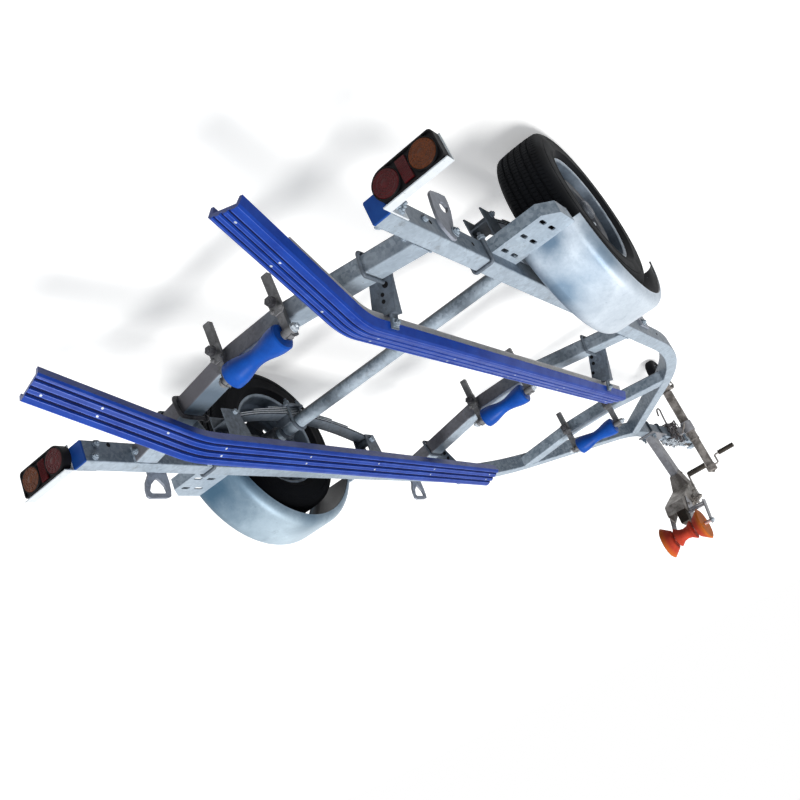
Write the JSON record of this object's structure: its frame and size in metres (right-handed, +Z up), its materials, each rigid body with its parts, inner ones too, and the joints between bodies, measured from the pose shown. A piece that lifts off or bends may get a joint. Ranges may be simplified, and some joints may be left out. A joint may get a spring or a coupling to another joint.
{
  "type": "boat trailer",
  "caption": "Single-axle galvanised boat trailer with bunks, keel rollers, bow roller and winch on a post, and a jockey wheel jack on the drawbar.",
  "frame": {"origin": "centre of the bounding box's footprint, on the floor", "axes": "+X to the trailer's left, +Y to its rear, +Z up"},
  "size_m": [1.55, 4.3294, 1.112],
  "materials": {
    "galvanised": "satin",
    "dark_steel": "satin",
    "tyre": "matte",
    "rim_silver": "satin",
    "hub_grey": "satin",
    "skid_blue": "satin",
    "roller_blue": "satin",
    "roller_orange": "satin",
    "cap_blue": "satin",
    "lamp_black": "matte",
    "lens_amber": "gloss",
    "lens_red": "gloss",
    "grip_black": "matte",
    "chain_steel": "satin"
  },
  "bodies": {
    "frame": {"axle_beam": "galvanised", "axle_clamps": "galvanised", "bow_yoke": "dark_steel", "bunk_brackets_middle": "galvanised", "bunk_brackets_rear": "galvanised", "bunk_channel_left": "galvanised", "bunk_channel_right": "galvanised", "bunk_skid_left": "skid_blue", "bunk_skid_right": "skid_blue", "coupling": "galvanised", "coupling_lever": "galvanised", "crossmember_front": "galvanised", "crossmember_middle": "galvanised", "crossmember_rear": "galvanised", "frame_u_bolts": "galvanised", "jack_clamp": "galvanised", "jack_crank": "dark_steel", "jack_tube": "dark_steel", "lamp_amber_lenses": "lens_amber", "lamp_brackets": "galvanised", "lamp_housings": "lamp_black", "lamp_red_lenses": "lens_red", "mudguard_arms": "galvanised", "mudguard_left": "galvanised", "mudguard_right": "galvanised", "rail_end_caps": "cap_blue", "rail_left": "galvanised", "rail_right": "galvanised", "roller_carrier_front": "galvanised", "roller_carrier_middle": "galvanised", "roller_carrier_rear": "galvanised", "safety_chain": "chain_steel", "spring_hangers": "galvanised", "spring_left": "galvanised", "spring_right": "galvanised", "strap_guide": "grip_black", "tie_down_lugs": "galvanised", "winch_drum": "dark_steel", "winch_frame": "dark_steel", "winch_handle": "dark_steel", "winch_post": "galvanised"},
    "wheel_left": {"tyre_left": "tyre", "rim_left": "rim_silver", "hub_left": "hub_grey"},
    "wheel_right": {"tyre_right": "tyre", "rim_right": "rim_silver", "hub_right": "hub_grey"},
    "roller_rear": {"keel_roller_rear": "roller_blue"},
    "roller_middle": {"keel_roller_middle": "roller_blue"},
    "roller_front": {"keel_roller_front": "roller_blue"},
    "roller_bow": {"bow_roller": "roller_orange"},
    "jack_stand": {"jack_leg": "dark_steel"},
    "jockey_wheel": {"jockey_tyre": "tyre", "jockey_rim": "hub_grey"}
  },
  "joints": [
    {"name": "wheel_left_spin", "type": "hinge", "parent": "frame", "child": "wheel_left", "pos_m": [0.684, 0.959, 0.281], "axis": [1, 0, 0], "continuous": true},
    {"name": "wheel_right_spin", "type": "hinge", "parent": "frame", "child": "wheel_right", "pos_m": [-0.684, 0.959, 0.281], "axis": [1, 0, 0], "continuous": true},
    {"name": "roller_rear_spin", "type": "hinge", "parent": "frame", "child": "roller_rear", "pos_m": [0, 1.7595, 0.459], "axis": [1, 0, 0], "continuous": true},
    {"name": "roller_middle_spin", "type": "hinge", "parent": "frame", "child": "roller_middle", "pos_m": [0, 0.3945, 0.462], "axis": [1, 0, 0], "continuous": true},
    {"name": "roller_front_spin", "type": "hinge", "parent": "frame", "child": "roller_front", "pos_m": [0, -0.4475, 0.535], "axis": [1, 0, 0], "continuous": true},
    {"name": "roller_bow_spin", "type": "hinge", "parent": "frame", "child": "roller_bow", "pos_m": [0, -0.954, 1.037], "axis": [1, 0, 0], "continuous": true},
    {"name": "jack_extend", "type": "slide", "parent": "frame", "child": "jack_stand", "axis": [0, 0, 1], "range_m": [-0.15, 0]},
    {"name": "jockey_wheel_spin", "type": "hinge", "parent": "jack_stand", "child": "jockey_wheel", "pos_m": [0.1, -1.741, 0.098], "axis": [1, 0, 0], "continuous": true}
  ]
}
